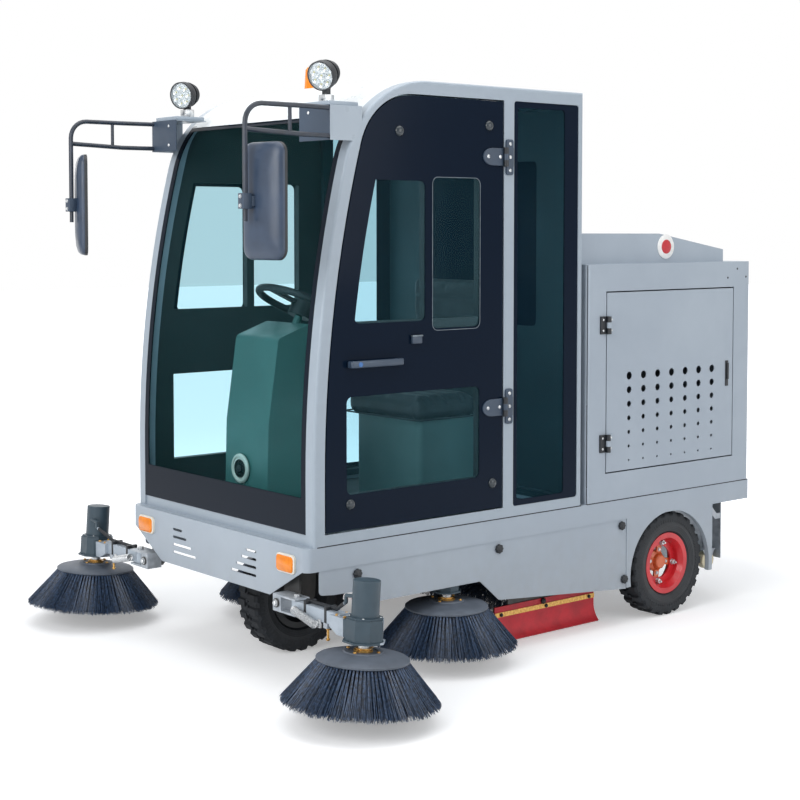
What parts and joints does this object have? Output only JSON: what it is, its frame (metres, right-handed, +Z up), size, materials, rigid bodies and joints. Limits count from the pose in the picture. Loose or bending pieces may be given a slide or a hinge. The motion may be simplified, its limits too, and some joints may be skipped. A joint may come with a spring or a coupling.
{
  "type": "compact road sweeper",
  "caption": "Ride-on road sweeper with an enclosed glazed cab, side brushes on arms, a main brush, a dust bin and a rear equipment box on wheels.",
  "frame": {"origin": "on the floor, under the middle of the machine's length and width", "axes": "+X the vehicle's left, +Y its rear, +Z up"},
  "size_m": [2.164, 2.4915, 2.112],
  "materials": {
    "body_paint": "semi-gloss",
    "frame_paint": "semi-gloss",
    "roof_paint": "semi-gloss",
    "dark_paint": "satin",
    "chassis_paint": "satin",
    "arm_paint": "semi-gloss",
    "rim_paint": "gloss",
    "screen_glass": "clear tinted",
    "side_glass": "dark tinted",
    "tyre_rubber": "matt",
    "bristle": "fibrous",
    "motor_shell": "satin",
    "red_rubber": "matt",
    "black_plastic": "satin",
    "seat_fabric": "matt",
    "amber_lens": "clear lens",
    "lamp_shell": "satin",
    "mirror_shell": "satin",
    "battery_case": "satin",
    "caster_plastic": "satin",
    "bright_steel": "brushed"
  },
  "bodies": {
    "chassis": {"chassis_frame": "chassis_paint", "chassis_rails": "chassis_paint", "chassis_brackets": "chassis_paint", "cab_floor": "chassis_paint", "lower_body": "body_paint", "skirt_panels": "body_paint", "cab_frame": "frame_paint", "cab_roof": "roof_paint", "windscreen": "screen_glass", "cab_windows": "side_glass", "cab_rear_wall": "frame_paint", "dash_console": "black_plastic", "seat_base": "body_paint", "seat_cushion": "seat_fabric", "seat_back": "seat_fabric", "pedals": "black_plastic", "work_lamps": "lamp_shell", "beacon": "amber_lens", "signal_lamps": "amber_lens", "mirror_arms": "dark_paint", "mirrors": "mirror_shell", "equipment_box": "body_paint", "tank_cover": "body_paint", "battery_pack": "battery_case", "brush_housing": "body_paint", "rubber_skirts": "red_rubber", "skirt_clamps": "bright_steel", "hinge_posts": "bright_steel"},
    "door_left": {"door_frame_left": "dark_paint", "door_glass_left": "side_glass", "door_hardware_left": "bright_steel"},
    "service_flap_left": {"service_door_left": "body_paint"},
    "back_wheel_left": {"rear_wheel_left": "rim_paint", "rear_tyre_left": "tyre_rubber"},
    "arm_lift_left": {"arm_bracket_left": "arm_paint"},
    "arm_swing_left": {"brush_arm_left": "arm_paint"},
    "side_brush_left": {"front_brush_left": "bristle"},
    "inner_arm_left": {"mid_arm_left": "motor_shell"},
    "inner_brush_left": {"mid_brush_left": "bristle"},
    "caster_left": {"bin_caster_left": "caster_plastic"},
    "door_right": {"door_frame_right": "dark_paint", "door_glass_right": "side_glass", "door_hardware_right": "bright_steel"},
    "service_flap_right": {"service_door_right": "body_paint"},
    "back_wheel_right": {"rear_wheel_right": "rim_paint", "rear_tyre_right": "tyre_rubber"},
    "arm_lift_right": {"arm_bracket_right": "arm_paint"},
    "arm_swing_right": {"brush_arm_right": "arm_paint"},
    "side_brush_right": {"front_brush_right": "bristle"},
    "inner_arm_right": {"mid_arm_right": "motor_shell"},
    "inner_brush_right": {"mid_brush_right": "bristle"},
    "caster_right": {"bin_caster_right": "caster_plastic"},
    "steering": {"steering_fork": "chassis_paint"},
    "drive_wheel": {"front_wheel": "rim_paint", "front_tyre": "tyre_rubber"},
    "wheel_in_hand": {"hand_wheel": "black_plastic"},
    "roller": {"main_brush": "bristle"},
    "bin": {"dust_bin": "arm_paint"}
  },
  "joints": [
    {"name": "steer", "type": "hinge", "parent": "chassis", "child": "steering", "pos_m": [0, -0.67923, 0.4], "axis": [0, 0, 1], "range_deg": [-60, 60]},
    {"name": "front_wheel_spin", "type": "hinge", "parent": "steering", "child": "drive_wheel", "pos_m": [0, -0.65123, 0.203], "axis": [1, 0, 0], "continuous": true},
    {"name": "hand_wheel_turn", "type": "hinge", "parent": "chassis", "child": "wheel_in_hand", "pos_m": [0, -0.60423, 1.232], "axis": [0, 0.4226, 0.9063], "range_deg": [-300, 300]},
    {"name": "main_brush_spin", "type": "hinge", "parent": "chassis", "child": "roller", "pos_m": [0, 0.21577, 0.182], "axis": [1, 0, 0], "continuous": true},
    {"name": "bin_slide", "type": "slide", "parent": "chassis", "child": "bin", "axis": [0, 1, 0], "range_m": [0, 0.45]},
    {"name": "door_left_open", "type": "hinge", "parent": "chassis", "child": "door_left", "pos_m": [0.559, -0.13473, 1.2], "axis": [0, 0, 1], "range_deg": [0, 100]},
    {"name": "service_door_left_open", "type": "hinge", "parent": "chassis", "child": "service_flap_left", "pos_m": [0.559, 0.39327, 0.93], "axis": [0, 0, -1], "range_deg": [0, 100]},
    {"name": "rear_wheel_left_spin", "type": "hinge", "parent": "chassis", "child": "back_wheel_left", "pos_m": [0.487, 0.76277, 0.203], "axis": [1, 0, 0], "continuous": true},
    {"name": "brush_arm_left_lift", "type": "hinge", "parent": "chassis", "child": "arm_lift_left", "pos_m": [0.418, -0.98673, 0.298], "axis": [0, -1, 0], "range_deg": [-4, 8]},
    {"name": "brush_arm_left_swing", "type": "hinge", "parent": "arm_lift_left", "child": "arm_swing_left", "pos_m": [0.492, -0.98673, 0.298], "axis": [0, 0, 1], "range_deg": [0, 20], "stiffness_Nm_per_rad": 60},
    {"name": "front_brush_left_spin", "type": "hinge", "parent": "arm_swing_left", "child": "side_brush_left", "pos_m": [0.834, -0.99223, 0.15], "axis": [0, 0.0698, 0.9976], "continuous": true},
    {"name": "middle_arm_left_drop", "type": "hinge", "parent": "chassis", "child": "inner_arm_left", "pos_m": [0.492, -0.08123, 0.366], "axis": [1, 0, 0], "range_deg": [0, 6]},
    {"name": "middle_brush_left_spin", "type": "hinge", "parent": "inner_arm_left", "child": "inner_brush_left", "pos_m": [0.492, -0.34923, 0.15], "axis": [0, 0, 1], "continuous": true},
    {"name": "caster_left_spin", "type": "hinge", "parent": "bin", "child": "caster_left", "pos_m": [0.395, 1.15877, 0.142], "axis": [1, 0, 0], "continuous": true},
    {"name": "door_right_open", "type": "hinge", "parent": "chassis", "child": "door_right", "pos_m": [-0.559, -0.13473, 1.2], "axis": [0, 0, -1], "range_deg": [0, 100]},
    {"name": "service_door_right_open", "type": "hinge", "parent": "chassis", "child": "service_flap_right", "pos_m": [-0.559, 0.39327, 0.93], "axis": [0, 0, 1], "range_deg": [0, 100]},
    {"name": "rear_wheel_right_spin", "type": "hinge", "parent": "chassis", "child": "back_wheel_right", "pos_m": [-0.487, 0.76277, 0.203], "axis": [1, 0, 0], "continuous": true},
    {"name": "brush_arm_right_lift", "type": "hinge", "parent": "chassis", "child": "arm_lift_right", "pos_m": [-0.418, -0.98673, 0.298], "axis": [0, 1, 0], "range_deg": [-4, 8]},
    {"name": "brush_arm_right_swing", "type": "hinge", "parent": "arm_lift_right", "child": "arm_swing_right", "pos_m": [-0.492, -0.98673, 0.298], "axis": [0, 0, -1], "range_deg": [0, 20], "stiffness_Nm_per_rad": 60},
    {"name": "front_brush_right_spin", "type": "hinge", "parent": "arm_swing_right", "child": "side_brush_right", "pos_m": [-0.834, -0.99223, 0.15], "axis": [0, 0.0698, 0.9976], "continuous": true},
    {"name": "middle_arm_right_drop", "type": "hinge", "parent": "chassis", "child": "inner_arm_right", "pos_m": [-0.492, -0.08123, 0.366], "axis": [1, 0, 0], "range_deg": [0, 6]},
    {"name": "middle_brush_right_spin", "type": "hinge", "parent": "inner_arm_right", "child": "inner_brush_right", "pos_m": [-0.492, -0.34923, 0.15], "axis": [0, 0, 1], "continuous": true},
    {"name": "caster_right_spin", "type": "hinge", "parent": "bin", "child": "caster_right", "pos_m": [-0.395, 1.15877, 0.142], "axis": [1, 0, 0], "continuous": true}
  ],
  "couplings": [
    {"joint": "steer", "follows": "hand_wheel_turn", "ratio": 0.2}
  ]
}
